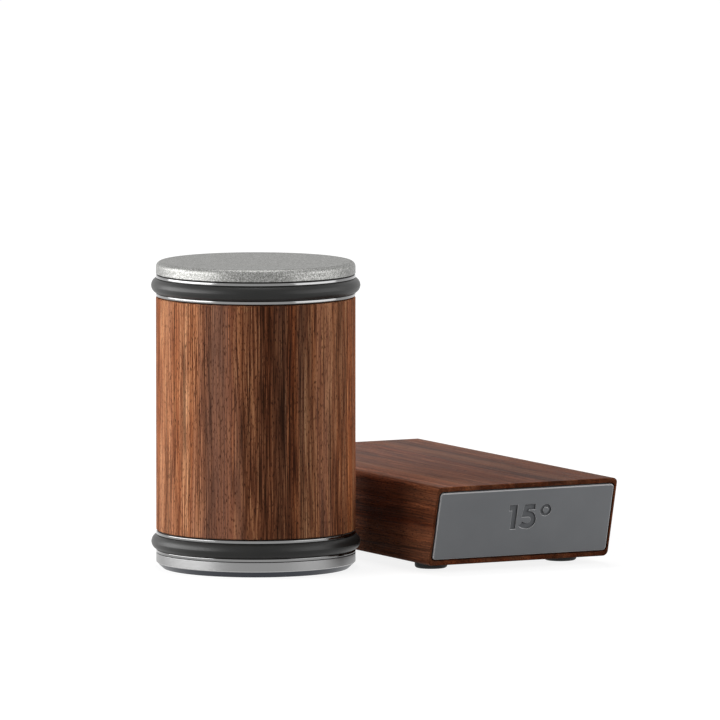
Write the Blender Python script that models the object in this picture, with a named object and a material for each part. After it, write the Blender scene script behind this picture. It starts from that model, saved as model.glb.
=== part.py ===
"""Rolling knife sharpener, in metres, with Z up.

A roller stands on its honing disc at the origin, with its axis on Z.  A wooden barrel is the grip.  It turns
on two ball bearings about an axle that carries a hub, a rubber tyre and a disc at each end.  Beside it stands
the magnetic angle guide, a wooden block whose two slanted ends hold a blade at 15 and at 20 degrees.
"""
from math import acos, asin, cos, pi, radians, sin, sqrt, tan

import bmesh
import bpy
from mathutils import Vector

for old_object in list(bpy.data.objects):
    bpy.data.objects.remove(old_object, do_unlink=True)

# Fits: the gap between pieces that touch, the gap between pieces that turn, and how far a cut runs past a face
clearance = 0.0003
running_gap = 0.0003
overrun = 0.001
merge_distance = 0.000001

# Roller as seen from outside
roller_diameter = 0.056
barrel_length = 0.0656
barrel_edge = 0.0003
hub_width = 0.006
hub_edge = 0.00015
tyre_section = 0.0044
tyre_stand_out = 0.00135
tyre_play = 0.0002
honing_disc_thickness = 0.0041
honing_chamfer_width = 0.0019
honing_chamfer_height = 0.0016
diamond_disc_thickness = 0.0034
diamond_disc_rounding = 0.0015

# Axle, the tubes on it, and the nuts and studs at its ends
axle_diameter = 0.008
axle_edge = 0.0004
axle_sink = 0.0005
sleeve_wall = 0.00145
nut_width = 0.013
nut_height = 0.0036
nut_sink = 0.0004
nut_wrench_room = 0.002
stud_diameter = 0.005
stud_reach = 0.008
stud_root = 0.0015

# Ball bearings, two alike
bearing_diameter = 0.022
bearing_width = 0.007
ball_diameter = 0.00397
ball_count = 7
ball_play = 0.00025
race_share = 0.75
shield_thickness = 0.0004
shield_step = 0.0005
shield_sink = 0.0003
cage_wall = 0.0016
cage_back = 0.0005
cage_play = 0.0002
cage_lip_share = 0.45

# Bearing carriers, with their circlips and screws
carrier_wall = 0.0047
carrier_flange_thickness = 0.0025
carrier_shoulder_thickness = 0.002
carrier_shoulder_width = 0.0025
barrel_rim = 0.0032
barrel_bore_play = 0.00125
circlip_thickness = 0.001
circlip_play = 0.00015
circlip_bite = 0.0009
circlip_width = 0.0015
circlip_lug = 0.0012
circlip_lip = 0.00095
circlip_opening = radians(50)
circlip_lug_angle = radians(13)
screw_count = 3
screw_head_diameter = 0.005
screw_head_height = 0.0013
screw_diameter = 0.0025
screw_length = 0.0115
screw_tip_length = 0.002
screw_drive_diameter = 0.0022
screw_drive_depth = 0.0009

# Angle guide: the block, and where its top front edge and its left side stand from the roller
guide_width = 0.0572
guide_length = 0.1185
guide_height = 0.0221
guide_edge = 0.0015
guide_rim = 0.0005
guide_lead = 0.0436
guide_distance = 0.0055
front_lean = radians(15)
rear_lean = radians(20)

# Blade pads in the block's slanted ends, and the magnets behind them
pad_side_margin = 0.0011
pad_top_margin = 0.0018
pad_bottom_margin = 0.00145
pad_recess = 0.0018
pad_proud = 0.0003
pad_corner = 0.001
pad_rim = 0.0004
magnet_count = 3
magnet_diameter = 0.012
magnet_thickness = 0.005
magnet_bridge = 0.0045

# Rubber feet under the block
foot_diameter = 0.0092
foot_height = 0.0027
foot_chamfer = 0.0004
foot_stem_diameter = 0.004
foot_stem_length = 0.006
foot_side_inset = 0.008
foot_end_inset = 0.0135

# How finely round shapes are divided
roller_steps = 36
carrier_steps = 30
small_steps = 20
screw_steps = 12
tyre_steps = 12
groove_steps = 6
race_steps = 4
corner_steps = 3
smooth_angle = radians(35)

# Places that follow from the sizes, heights in each end counted outwards from the barrel's end face
roller_radius = roller_diameter / 2
axle_radius = axle_diameter / 2
sleeve_bore = axle_radius + clearance
sleeve_radius = sleeve_bore + sleeve_wall
bearing_radius = bearing_diameter / 2
bearing_seat = bearing_radius + clearance
bearing_top = -(circlip_lip + circlip_play + circlip_thickness + clearance)
bearing_middle = bearing_top - bearing_width / 2
bearing_bottom = bearing_top - bearing_width
carrier_radius = bearing_seat + carrier_wall
carrier_shoulder = bearing_bottom - clearance
carrier_bottom = carrier_shoulder - carrier_shoulder_thickness
flange_radius = roller_radius - barrel_rim - clearance
screw_circle = (carrier_radius + flange_radius) / 2
ball_radius = ball_diameter / 2
pitch_radius = (bearing_radius + axle_radius) / 2
inner_land = pitch_radius - race_share * ball_radius
outer_land = pitch_radius + race_share * ball_radius
race_radius = ball_radius + ball_play
hub_inner = running_gap
hub_outer = hub_inner + hub_width
hub_middle = (hub_inner + hub_outer) / 2
nut_bottom = hub_outer - nut_sink - nut_height
axle_end = hub_outer - axle_sink
disc_seat = hub_outer + clearance
stud_radius = stud_diameter / 2
tyre_radius = tyre_section / 2
tyre_circle = roller_radius + tyre_stand_out - tyre_radius
tyre_reach = roller_radius + tyre_stand_out
lower_end_height = disc_seat + honing_disc_thickness
upper_end_height = lower_end_height + barrel_length
barrel_middle = (lower_end_height + upper_end_height) / 2
guide_left = tyre_reach + guide_distance
guide_middle = guide_left + guide_width / 2
guide_top = foot_height + guide_height


def from_hex(code):
    """Turn a six-digit sRGB colour into linear red, green, blue and alpha."""
    shades = [int(code[place:place + 2], 16) / 255 for place in (0, 2, 4)]
    linear = [shade / 12.92 if shade <= 0.04045 else ((shade + 0.055) / 1.055) ** 2.4 for shade in shades]
    return (*linear, 1)


def finish(name, code, metallic, roughness):
    """Make a plain material in one colour."""
    material = bpy.data.materials.new(name)
    material.use_nodes = True
    shader = material.node_tree.nodes["Principled BSDF"]
    shader.inputs["Base Color"].default_value = from_hex(code)
    shader.inputs["Metallic"].default_value = metallic
    shader.inputs["Roughness"].default_value = roughness
    return material


walnut = finish("walnut", "7A4A36", 0, 0.5)
polished_aluminium = finish("polished_aluminium", "D6D6D6", 1, 0.15)
turned_aluminium = finish("turned_aluminium", "B4B5B7", 1, 0.35)
satin_steel = finish("satin_steel", "A9A9A8", 1, 0.3)
diamond_coating = finish("diamond_coating", "9B9B99", 1, 0.55)
black_rubber = finish("black_rubber", "363635", 0, 0.6)
foot_rubber = finish("foot_rubber", "1A1A1A", 0, 0.7)
bearing_steel = finish("bearing_steel", "C4C5C6", 1, 0.2)
cage_nylon = finish("cage_nylon", "2E2B27", 0, 0.5)
spring_steel = finish("spring_steel", "3A3B3D", 1, 0.4)
zinc_steel = finish("zinc_steel", "BFC2C4", 1, 0.3)
axle_steel = finish("axle_steel", "A4A6A8", 1, 0.25)
pad_silicone = finish("pad_silicone", "626468", 0, 0.55)
magnet_nickel = finish("magnet_nickel", "CFCCC4", 1, 0.2)


def finished_mesh(shape, name, material):
    """Turn a working shape into a smooth-shaded mesh whose faces point out."""
    bmesh.ops.remove_doubles(shape, verts=shape.verts, dist=merge_distance)
    bmesh.ops.recalc_face_normals(shape, faces=shape.faces)
    mesh = bpy.data.meshes.new(name)
    shape.to_mesh(mesh)
    shape.free()
    mesh.shade_smooth()
    mesh.set_sharp_from_angle(angle=smooth_angle)
    mesh.materials.append(material)
    return mesh


def turned(name, outline, steps, material):
    """Spin points of radius and height about Z: a ring, or a solid where the outline ends on the axis."""
    shape = bmesh.new()
    points = [shape.verts.new((radius, 0, height)) for radius, height in outline]
    pairs = list(zip(points, points[1:]))
    if outline[0][0] > 0:
        pairs.append((points[-1], points[0]))
    lines = [shape.edges.new(pair) for pair in pairs]
    bmesh.ops.spin(shape, geom=points + lines, cent=(0, 0, 0), axis=(0, 0, 1), angle=2 * pi,
                   steps=steps, use_merge=True)
    return finished_mesh(shape, name, material)


def prism(name, outline, thickness, material):
    """Raise a flat outline of x and y points into a plate that stands on Z = 0."""
    shape = bmesh.new()
    floor = shape.faces.new([shape.verts.new((x, y, 0)) for x, y in outline])
    raised = bmesh.ops.extrude_face_region(shape, geom=[floor])
    top = [item for item in raised["geom"] if isinstance(item, bmesh.types.BMVert)]
    bmesh.ops.translate(shape, verts=top, vec=(0, 0, thickness))
    return finished_mesh(shape, name, material)


def arc(centre_x, centre_y, radius, start, stop, steps):
    """Points on an arc, both ends among them."""
    turns = [start + (stop - start) * step / steps for step in range(steps + 1)]
    return [(centre_x + radius * cos(turn), centre_y + radius * sin(turn)) for turn in turns]


def rounded_rectangle(width, height, corner):
    """Outline of a rectangle about the origin with round corners."""
    outline = []
    for quarter, (side_x, side_y) in enumerate(((1, 1), (-1, 1), (-1, -1), (1, -1))):
        centre_x = side_x * (width / 2 - corner)
        centre_y = side_y * (height / 2 - corner)
        start = quarter * pi / 2
        outline += arc(centre_x, centre_y, corner, start, start + pi / 2, corner_steps)
    return outline


def mirrored(outline):
    """Carry an outline of the upper half on through its lower half."""
    return outline + [(radius, -height) for radius, height in reversed(outline)]


def place(name, mesh, parent=None, location=(0, 0, 0), rotation=(0, 0, 0)):
    """Stand a mesh in the scene as one named piece."""
    piece = bpy.data.objects.new(name, mesh)
    bpy.context.scene.collection.objects.link(piece)
    piece.parent = parent
    piece.location = location
    piece.rotation_euler = rotation
    return piece


def cutter(name, mesh, parent=None, location=(0, 0, 0), rotation=(0, 0, 0)):
    """Stand a mesh in the scene that only cuts others."""
    tool = place(name, mesh, parent, location, rotation)
    tool.hide_render = True
    tool.display_type = "WIRE"
    return tool


def cut(piece, tool):
    """Take the tool's shape out of a piece."""
    boolean = piece.modifiers.new(tool.name, "BOOLEAN")
    boolean.operation = "DIFFERENCE"
    boolean.solver = "EXACT"
    boolean.object = tool


def rows_of_discs(name, centres, radius, bottom, top, steps, material):
    """Upright cylinders in one mesh, as a tool for a row of holes."""
    shape = bmesh.new()
    for centre_x, centre_y in centres:
        disc = bmesh.ops.create_cone(shape, cap_ends=True, segments=steps, radius1=radius, radius2=radius,
                                     depth=top - bottom)
        bmesh.ops.translate(shape, verts=disc["verts"], vec=(centre_x, centre_y, (top + bottom) / 2))
    return finished_mesh(shape, name, material)


def barrel_mesh():
    """Wooden sleeve: bored through, with a stepped seat for a bearing carrier in each end."""
    half = barrel_length / 2
    seat_floor = half + carrier_bottom - clearance
    flange_floor = half - carrier_flange_thickness - clearance
    bore = sleeve_radius + barrel_bore_play
    upper_half = [
        (bore, seat_floor),
        (carrier_radius + clearance, seat_floor),
        (carrier_radius + clearance, flange_floor),
        (flange_radius + clearance, flange_floor),
        (flange_radius + clearance, half),
        (roller_radius - barrel_edge, half),
        (roller_radius, half - barrel_edge),
    ]
    return turned("wood_barrel", mirrored(upper_half), roller_steps, walnut)


def carrier_mesh():
    """Turned cup with a flange: a bearing seat, a groove for the circlip and a shoulder below."""
    groove = bearing_seat + circlip_bite
    groove_bottom = -(circlip_lip + circlip_thickness + 2 * circlip_play)
    outline = [
        (flange_radius, 0),
        (flange_radius, -carrier_flange_thickness),
        (carrier_radius, -carrier_flange_thickness),
        (carrier_radius, carrier_bottom),
        (bearing_radius - carrier_shoulder_width, carrier_bottom),
        (bearing_radius - carrier_shoulder_width, carrier_shoulder),
        (bearing_seat, carrier_shoulder),
        (bearing_seat, groove_bottom),
        (groove, groove_bottom),
        (groove, -circlip_lip),
        (bearing_seat, -circlip_lip),
        (bearing_seat, 0),
    ]
    return turned("bearing_carrier", outline, carrier_steps, turned_aluminium)


def screw_mesh():
    """Countersunk wood screw with a conical drive recess, its head's face on Z = 0."""
    outline = [
        (0, -screw_drive_depth),
        (screw_drive_diameter / 2, 0),
        (screw_head_diameter / 2, 0),
        (screw_diameter / 2, -screw_head_height),
        (screw_diameter / 2, screw_tip_length - screw_length),
        (0, -screw_length),
    ]
    return turned("carrier_screw", outline, screw_steps, zinc_steel)


def screw_hole_mesh():
    """The screw's shape, grown by the clearance, as a tool for its hole."""
    head = screw_head_diameter / 2 + clearance
    shank = screw_diameter / 2 + clearance
    outline = [
        (0, overrun),
        (head, overrun),
        (head, 0),
        (shank, -screw_head_height),
        (shank, -screw_length - clearance),
        (0, -screw_length - clearance),
    ]
    return turned("screw_hole", outline, screw_steps, turned_aluminium)


def circlip_mesh():
    """Open spring ring with a lug at each end, cut from plate."""
    outer = bearing_seat + circlip_bite - clearance
    inner = outer - circlip_width
    lug = inner - circlip_lug
    start = circlip_opening / 2
    stop = 2 * pi - start
    outline = arc(0, 0, outer, start, stop, small_steps)
    outline += arc(0, 0, lug, stop, stop - circlip_lug_angle, 1)
    outline += arc(0, 0, inner, stop - circlip_lug_angle, start + circlip_lug_angle, small_steps)
    outline += arc(0, 0, lug, start + circlip_lug_angle, start, 1)
    return prism("circlip", outline, circlip_thickness, spring_steel)


def race_arc(land, side):
    """Raceway in a ring's land, from its upper edge to its lower one."""
    lean = acos((land - pitch_radius) / race_radius)
    if side > 0:
        return arc(pitch_radius, 0, race_radius, lean, -lean, race_steps)
    return arc(pitch_radius, 0, race_radius, lean, 2 * pi - lean, race_steps)


def outer_ring_mesh():
    """Bearing's outer ring: raceway inside, and a step on top that holds the shield."""
    half = bearing_width / 2
    step_floor = half - shield_sink - shield_thickness - clearance
    outline = [
        (bearing_radius, -half),
        (bearing_radius, half),
        (outer_land + shield_step, half),
        (outer_land + shield_step, step_floor),
        (outer_land, step_floor),
    ]
    outline += race_arc(outer_land, 1)
    outline.append((outer_land, -half))
    return turned("bearing_outer_ring", outline, small_steps, bearing_steel)


def inner_ring_mesh():
    """Bearing's inner ring, with its raceway outside."""
    half = bearing_width / 2
    outline = [(sleeve_bore, half), (inner_land, half)]
    outline += race_arc(inner_land, -1)
    outline += [(inner_land, -half), (sleeve_bore, -half)]
    return turned("bearing_inner_ring", outline, small_steps, bearing_steel)


def shield_mesh():
    """Flat washer that closes the bearing on its outer side."""
    top = bearing_width / 2 - shield_sink
    inner = inner_land + clearance
    outer = outer_land + shield_step - clearance
    outline = [(inner, top), (outer, top), (outer, top - shield_thickness), (inner, top - shield_thickness)]
    return turned("bearing_shield", outline, small_steps, bearing_steel)


def cage_mesh():
    """Crown cage before its pockets are cut: a ring that is thick below the balls and open above."""
    bottom = -(ball_radius + cage_play + cage_back)
    top = cage_lip_share * ball_radius
    inner = pitch_radius - cage_wall / 2
    outer = pitch_radius + cage_wall / 2
    outline = [(inner, bottom), (outer, bottom), (outer, top), (inner, top)]
    return turned("bearing_cage", outline, small_steps, cage_nylon)


def ball_turn(number):
    """Where a ball stands round the bearing."""
    return 2 * pi * number / ball_count


def cage_pockets_mesh():
    """One radial cylinder for each ball, as a tool for the cage's pockets."""
    shape = bmesh.new()
    radius = (ball_radius + cage_play) / cos(pi / screw_steps)
    for number in range(ball_count):
        pocket = bmesh.ops.create_cone(shape, cap_ends=True, segments=screw_steps, radius1=radius,
                                       radius2=radius, depth=cage_wall + 2 * overrun)
        direction = Vector((cos(ball_turn(number)), sin(ball_turn(number)), 0))
        turn = direction.to_track_quat("Z", "Y").to_matrix()
        bmesh.ops.rotate(shape, verts=pocket["verts"], cent=(0, 0, 0), matrix=turn)
        bmesh.ops.translate(shape, verts=pocket["verts"], vec=direction * pitch_radius)
    return finished_mesh(shape, "cage_pockets", cage_nylon)


def ball_mesh():
    """Bearing ball."""
    shape = bmesh.new()
    bmesh.ops.create_icosphere(shape, subdivisions=2, radius=ball_radius)
    return finished_mesh(shape, "bearing_ball", bearing_steel)


def hub_mesh():
    """Polished hub: tyre groove outside, nut recess on top, and a boss below that meets the bearing."""
    groove = tyre_radius + tyre_play
    lip = asin((roller_radius - tyre_circle) / groove)
    recess = nut_width / sqrt(3) + nut_wrench_room
    recess_floor = nut_bottom - clearance
    boss_end = bearing_top + clearance
    outline = [
        (sleeve_bore, boss_end),
        (sleeve_radius, boss_end),
        (sleeve_radius, hub_inner),
        (roller_radius - hub_edge, hub_inner),
        (roller_radius, hub_inner + hub_edge),
    ]
    outline += arc(tyre_circle, hub_middle, groove, -pi / 2 + lip, -3 * pi / 2 - lip, groove_steps)
    outline += [
        (roller_radius, hub_outer - hub_edge),
        (roller_radius - hub_edge, hub_outer),
        (recess, hub_outer),
        (recess, recess_floor),
        (sleeve_bore, recess_floor),
    ]
    return turned("hub", outline, roller_steps, polished_aluminium)


def tyre_mesh():
    """Rubber ring of round section, in the middle of the hub."""
    outline = arc(tyre_circle, hub_middle, tyre_radius, 0, 2 * pi, tyre_steps)[:-1]
    return turned("tyre", outline, roller_steps, black_rubber)


def nut_mesh():
    """Thin hexagon nut before it is bored."""
    corner = nut_width / sqrt(3)
    outline = arc(0, 0, corner, 0, 2 * pi, 6)[:-1]
    return prism("hub_nut", outline, nut_height, zinc_steel)


def nut_bore_mesh():
    """Cylinder as a tool for the nut's bore."""
    return rows_of_discs("nut_bore", [(0, 0)], sleeve_bore, -overrun, nut_height + overrun, small_steps,
                         zinc_steel)


def axle_mesh():
    """Plain shaft with a blind threaded bore in each end for the disc's stud."""
    half = barrel_length / 2 + axle_end
    bore = stud_radius + clearance
    bore_floor = half - stud_reach - clearance
    upper_half = [
        (0, bore_floor),
        (bore, bore_floor),
        (bore, half),
        (axle_radius - axle_edge, half),
        (axle_radius, half - axle_edge),
    ]
    return turned("axle", mirrored(upper_half), small_steps, axle_steel)


def spacer_mesh():
    """Tube between the two inner rings."""
    half = barrel_length / 2 + bearing_bottom - clearance
    return turned("spacer_tube", mirrored([(sleeve_bore, half), (sleeve_radius, half)]), small_steps,
                  turned_aluminium)


def disc_back():
    """Start of a disc's outline: the blind hole for its stud, and the face that meets the hub."""
    hole = stud_radius + clearance
    hole_floor = stud_root + clearance
    return [(0, hole_floor), (hole, hole_floor), (hole, 0), (roller_radius, 0)]


def diamond_disc_mesh():
    """Grinding disc with a flat face and a round shoulder."""
    face = diamond_disc_thickness
    rounding = diamond_disc_rounding
    outline = disc_back()
    outline += arc(roller_radius - rounding, face - rounding, rounding, 0, pi / 2, corner_steps)
    outline.append((0, face))
    return turned("diamond_disc", outline, roller_steps, diamond_coating)


def honing_disc_mesh():
    """Honing disc with a flat face and a chamfered edge."""
    face = honing_disc_thickness
    outline = disc_back()
    outline += [
        (roller_radius, face - honing_chamfer_height),
        (roller_radius - honing_chamfer_width, face),
        (0, face),
    ]
    return turned("honing_disc", outline, roller_steps, satin_steel)


def stud_mesh():
    """Threaded stud, from inside the disc to the floor of the axle's bore."""
    top = disc_seat + stud_root
    bottom = axle_end - stud_reach
    outline = [(0, bottom), (stud_radius, bottom), (stud_radius, top), (0, top)]
    return turned("disc_stud", outline, screw_steps, zinc_steel)


def end_frame(name, height, rotation):
    """Empty on the roller's axis at one end of the barrel, its Z pointing out of that end."""
    frame = bpy.data.objects.new(name, None)
    bpy.context.scene.collection.objects.link(frame)
    frame.location = (0, 0, height)
    frame.rotation_euler = rotation
    return frame


def build_end(end, frame, barrel, meshes):
    """Everything that is alike at both ends of the roller."""
    carrier = place(f"{end}_bearing_carrier", meshes["carrier"], frame)
    for number in range(screw_count):
        turn = 2 * pi * number / screw_count
        spot = (screw_circle * cos(turn), screw_circle * sin(turn), 0)
        place(f"{end}_carrier_screw_{number + 1}", meshes["screw"], frame, spot)
        hole = cutter(f"{end}_screw_hole_{number + 1}", meshes["screw_hole"], frame, spot)
        cut(carrier, hole)
        cut(barrel, hole)
    circlip_bottom = -(circlip_lip + circlip_play + circlip_thickness)
    place(f"{end}_circlip", meshes["circlip"], frame, (0, 0, circlip_bottom))
    middle = (0, 0, bearing_middle)
    for piece in ("outer_ring", "inner_ring", "shield"):
        place(f"{end}_bearing_{piece}", meshes[piece], frame, middle)
    cage = place(f"{end}_bearing_cage", meshes["cage"], frame, middle)
    cut(cage, cutter(f"{end}_cage_pockets", meshes["cage_pockets"], frame, middle))
    for number in range(ball_count):
        turn = ball_turn(number)
        spot = (pitch_radius * cos(turn), pitch_radius * sin(turn), bearing_middle)
        place(f"{end}_bearing_ball_{number + 1}", meshes["ball"], frame, spot)
    place(f"{end}_hub", meshes["hub"], frame)
    place(f"{end}_tyre", meshes["tyre"], frame)
    nut = place(f"{end}_hub_nut", meshes["nut"], frame, (0, 0, nut_bottom))
    cut(nut, cutter(f"{end}_nut_bore", meshes["nut_bore"], frame, (0, 0, nut_bottom)))


def build_roller():
    """The roller, from the barrel outwards."""
    middle = (0, 0, barrel_middle)
    barrel = place("wood_barrel", barrel_mesh(), None, middle)
    place("axle", axle_mesh(), None, middle)
    place("spacer_tube", spacer_mesh(), None, middle)
    meshes = {
        "carrier": carrier_mesh(),
        "screw": screw_mesh(),
        "screw_hole": screw_hole_mesh(),
        "circlip": circlip_mesh(),
        "outer_ring": outer_ring_mesh(),
        "inner_ring": inner_ring_mesh(),
        "shield": shield_mesh(),
        "cage": cage_mesh(),
        "cage_pockets": cage_pockets_mesh(),
        "ball": ball_mesh(),
        "hub": hub_mesh(),
        "tyre": tyre_mesh(),
        "nut": nut_mesh(),
        "nut_bore": nut_bore_mesh(),
        "stud": stud_mesh(),
    }
    upper = end_frame("upper_end", upper_end_height, (0, 0, 0))
    lower = end_frame("lower_end", lower_end_height, (pi, 0, 0))
    build_end("upper", upper, barrel, meshes)
    build_end("lower", lower, barrel, meshes)
    place("diamond_disc", diamond_disc_mesh(), upper, (0, 0, disc_seat))
    place("diamond_disc_stud", meshes["stud"], upper)
    place("honing_disc", honing_disc_mesh(), lower, (0, 0, disc_seat))
    place("honing_disc_stud", meshes["stud"], lower)


def end_line(end, height):
    """Where the block's slanted end lies along Y at a height: both ends lean out towards the top."""
    fall = guide_top - height
    if end == "front":
        return -guide_lead + fall * tan(front_lean)
    return guide_length - guide_lead - fall * tan(rear_lean)


def block_mesh():
    """Wooden block: long edges rounded, both ends slanted, with a small round along each end's rim."""
    section = rounded_rectangle(guide_width, guide_height, guide_edge)
    centre_height = foot_height + guide_height / 2
    shape = bmesh.new()
    rings = []
    for end in ("front", "rear"):
        points = [(guide_middle + x, end_line(end, centre_height + z), centre_height + z) for x, z in section]
        rings.append([shape.verts.new(point) for point in points])
    caps = [shape.faces.new(ring) for ring in rings]
    count = len(section)
    for number in range(count):
        follower = (number + 1) % count
        shape.faces.new((rings[0][number], rings[0][follower], rings[1][follower], rings[1][number]))
    rims = list({edge for cap in caps for edge in cap.edges})
    bmesh.ops.bevel(shape, geom=rims, offset=guide_rim, segments=2, profile=0.5, affect="EDGES")
    return finished_mesh(shape, "guide_block", walnut)


def pad_frame(end):
    """Width, height, place and turn of a blade pad: its Z points out of the block's slanted end."""
    lean = front_lean if end == "front" else rear_lean
    width = guide_width - 2 * pad_side_margin
    height = guide_height / cos(lean) - pad_top_margin - pad_bottom_margin
    centre_height = foot_height + (pad_bottom_margin + height / 2) * cos(lean)
    centre = (guide_middle, end_line(end, centre_height), centre_height)
    if end == "front":
        return width, height, centre, (pi / 2 + lean, 0, 0)
    return width, height, centre, (pi / 2 + lean, 0, pi)


def pad_mesh(name, width, height):
    """Blade pad: a plate with round corners and a soft rim, in a shallow recess."""
    outline = rounded_rectangle(width, height, pad_corner)
    bottom = clearance - pad_recess
    shape = bmesh.new()
    floor = shape.faces.new([shape.verts.new((x, y, bottom)) for x, y in outline])
    raised = bmesh.ops.extrude_face_region(shape, geom=[floor])
    top = [item for item in raised["geom"] if isinstance(item, bmesh.types.BMVert)]
    bmesh.ops.translate(shape, verts=top, vec=(0, 0, pad_proud - bottom))
    rim = [edge for edge in shape.edges if all(corner in top for corner in edge.verts)]
    bmesh.ops.bevel(shape, geom=rim, offset=pad_rim, segments=2, profile=0.5, affect="EDGES")
    return finished_mesh(shape, name, pad_silicone)


def recess_mesh(width, height):
    """Plate as a tool for the pad's recess, larger than the pad all round."""
    outline = rounded_rectangle(width + 2 * clearance, height + 2 * clearance, pad_corner + clearance)
    return prism("pad_recess", outline, pad_recess + overrun, walnut)


def magnet_places():
    """Where the magnets stand across the pad."""
    spacing = magnet_diameter + magnet_bridge
    return [(spacing * (number - (magnet_count - 1) / 2), 0) for number in range(magnet_count)]


def build_guide_end(block, end, pad_name):
    """A slanted end of the guide: the pad in its recess, and the magnets in pockets behind it."""
    width, height, centre, turn = pad_frame(end)
    frame = end_frame(f"{end}_pad_frame", 0, turn)
    frame.location = centre
    place(pad_name, pad_mesh(pad_name, width, height), frame)
    cut(block, cutter(f"{end}_recess", recess_mesh(width, height), frame, (0, 0, -pad_recess)))
    magnet_bottom = -pad_recess - magnet_thickness
    magnet = rows_of_discs("guide_magnet", [(0, 0)], magnet_diameter / 2, 0, magnet_thickness, small_steps,
                           magnet_nickel)
    for number, (x, y) in enumerate(magnet_places()):
        place(f"{end}_magnet_{number + 1}", magnet, frame, (x, y, magnet_bottom))
    pockets = rows_of_discs("magnet_pockets", magnet_places(), magnet_diameter / 2 + clearance,
                            magnet_bottom - clearance, overrun - pad_recess, small_steps, walnut)
    cut(block, cutter(f"{end}_magnet_pockets", pockets, frame))


def foot_mesh():
    """Rubber foot with a stem that is pressed into the block."""
    top = foot_height - clearance
    radius = foot_diameter / 2
    stem = foot_stem_diameter / 2
    outline = [
        (0, 0),
        (radius - foot_chamfer, 0),
        (radius, foot_chamfer),
        (radius, top),
        (stem, top),
        (stem, top + foot_stem_length),
        (0, top + foot_stem_length),
    ]
    return turned("guide_foot", outline, small_steps, foot_rubber)


def build_feet(block):
    """Four feet under the block, and the holes for their stems."""
    foot = foot_mesh()
    left = guide_left + foot_side_inset
    right = guide_left + guide_width - foot_side_inset
    front = end_line("front", foot_height) + foot_end_inset
    rear = end_line("rear", foot_height) - foot_end_inset
    places = {
        "foot_front_left": (left, front),
        "foot_front_right": (right, front),
        "foot_rear_left": (left, rear),
        "foot_rear_right": (right, rear),
    }
    for name, (x, y) in places.items():
        place(name, foot, None, (x, y, 0))
    stem_hole = foot_stem_diameter / 2 + clearance
    holes = rows_of_discs("stem_holes", places.values(), stem_hole, foot_height - overrun,
                          foot_height + foot_stem_length, small_steps, walnut)
    cut(block, cutter("stem_holes", holes))


def build_guide():
    """The angle guide beside the roller."""
    block = place("guide_block", block_mesh())
    build_guide_end(block, "front", "blade_pad_15")
    build_guide_end(block, "rear", "blade_pad_20")
    build_feet(block)


build_roller()
build_guide()
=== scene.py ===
"""Rolling knife sharpener, dressed for the eye, piece by piece in the order it is put together.

A walnut barrel turns on two ball bearings about an axle with a hub, a rubber tyre and a disc at each end.
Beside it stands the walnut angle guide with a blade pad on each slanted end.  Units are metres.
"""
from math import asin, atan2, cos, hypot, pi, radians, sin, sqrt, tan

import bpy
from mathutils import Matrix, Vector


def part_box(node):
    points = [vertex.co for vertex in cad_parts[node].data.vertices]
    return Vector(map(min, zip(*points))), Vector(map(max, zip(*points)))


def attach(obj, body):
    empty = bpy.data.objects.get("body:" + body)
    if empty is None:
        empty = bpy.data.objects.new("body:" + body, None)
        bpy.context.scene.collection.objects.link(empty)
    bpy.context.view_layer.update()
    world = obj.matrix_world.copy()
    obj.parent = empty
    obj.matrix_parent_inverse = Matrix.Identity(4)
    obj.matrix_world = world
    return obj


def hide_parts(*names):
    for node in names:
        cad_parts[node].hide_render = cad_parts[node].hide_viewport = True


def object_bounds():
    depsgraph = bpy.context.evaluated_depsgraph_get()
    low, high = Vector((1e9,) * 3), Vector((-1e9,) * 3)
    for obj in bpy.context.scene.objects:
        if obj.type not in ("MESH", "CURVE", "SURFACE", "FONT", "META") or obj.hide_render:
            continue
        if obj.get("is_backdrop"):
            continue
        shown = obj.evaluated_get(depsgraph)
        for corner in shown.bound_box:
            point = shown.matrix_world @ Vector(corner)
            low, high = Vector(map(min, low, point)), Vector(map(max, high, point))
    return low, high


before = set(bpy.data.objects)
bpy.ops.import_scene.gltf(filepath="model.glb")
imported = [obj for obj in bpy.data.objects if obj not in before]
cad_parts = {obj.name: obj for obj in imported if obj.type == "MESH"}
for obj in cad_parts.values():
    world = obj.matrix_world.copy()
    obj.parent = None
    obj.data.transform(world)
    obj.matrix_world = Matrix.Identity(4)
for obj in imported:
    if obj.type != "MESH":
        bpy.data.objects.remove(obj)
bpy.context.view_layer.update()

mm = 0.001


# Barrel: the sleeve that the hand holds.  It is turned from one piece of walnut, bored through, stepped at
# both ends for the bearing carriers, sanded and oiled.  Its grain runs from end to end.
barrel_low, barrel_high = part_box("wood_barrel")
roller_radius = barrel_high.x
barrel_end_round = 0.35 * mm
barrel_bore = 7 * mm
carrier_low, carrier_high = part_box("upper_bearing_carrier")
flange_radius = carrier_high.x
flange_thickness = 2.5 * mm
carrier_radius = 16 * mm
carrier_depth = carrier_high.z - carrier_low.z
# Play that is drawn between pieces that meet, so that no two faces lie on one another
gap = 0.3 * mm
fine_steps = 144
end_round_steps = 5
smooth_angle = radians(32)
merge_reach = 0.001 * mm


def arc(centre_x, centre_y, radius, start, stop, steps):
    """Points on an arc, both ends among them."""
    turns = [start + (stop - start) * step / steps for step in range(steps + 1)]
    return [(centre_x + radius * cos(turn), centre_y + radius * sin(turn)) for turn in turns]


def leave_edit_mode():
    """Go back to object mode with nothing selected."""
    if bpy.context.object and bpy.context.object.mode != "OBJECT":
        bpy.ops.object.mode_set(mode="OBJECT")
    bpy.ops.object.select_all(action="DESELECT")


def take_up(piece):
    """Make a piece the active one, in object mode, and select it alone."""
    leave_edit_mode()
    bpy.context.view_layer.objects.active = piece
    piece.select_set(True)


def merge_points():
    """Select the whole of the mesh in edit mode, and merge the points that coincide."""
    bpy.ops.mesh.select_all(action="SELECT")
    bpy.ops.mesh.remove_doubles(threshold=merge_reach)


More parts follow.
